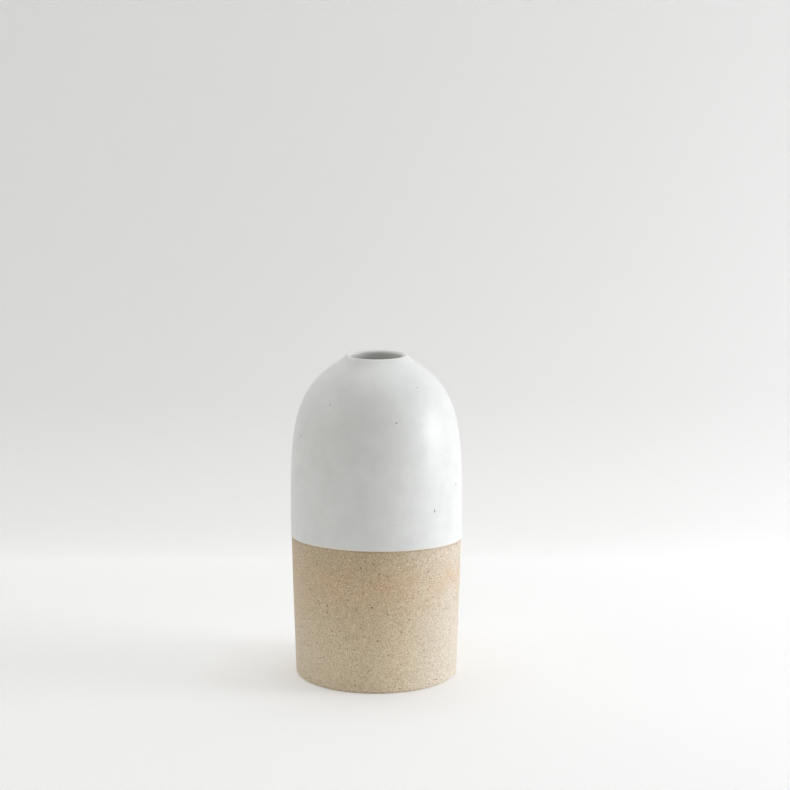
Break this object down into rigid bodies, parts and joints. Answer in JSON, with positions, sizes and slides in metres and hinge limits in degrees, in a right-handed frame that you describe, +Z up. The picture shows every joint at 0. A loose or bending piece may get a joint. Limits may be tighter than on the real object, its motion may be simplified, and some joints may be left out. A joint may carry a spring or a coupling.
{
  "type": "bud vase",
  "caption": "Straight-sided stoneware bud vase with a domed shoulder, a small round mouth with a raised lip, and white glaze down to a dip line above bare clay.",
  "frame": {"origin": "centre of the foot, in the plane of the surface that the vase stands on", "axes": "+Z up along the axis of the pot, out of the mouth; -Y faces the viewer; +X to the viewer's right"},
  "size_m": [0.0906, 0.0906, 0.1711],
  "materials": {
    "stoneware": "bare fired stoneware, sandy, with dark and pale grains",
    "satin_white_glaze": "satin white glaze with sparse pinholes and specks",
    "liner_glaze": "smooth white liner glaze"
  },
  "bodies": {
    "root": {"stoneware_body": "stoneware", "white_glaze_coat": "satin_white_glaze", "liner_glaze_coat": "liner_glaze"}
  },
  "joints": []
}
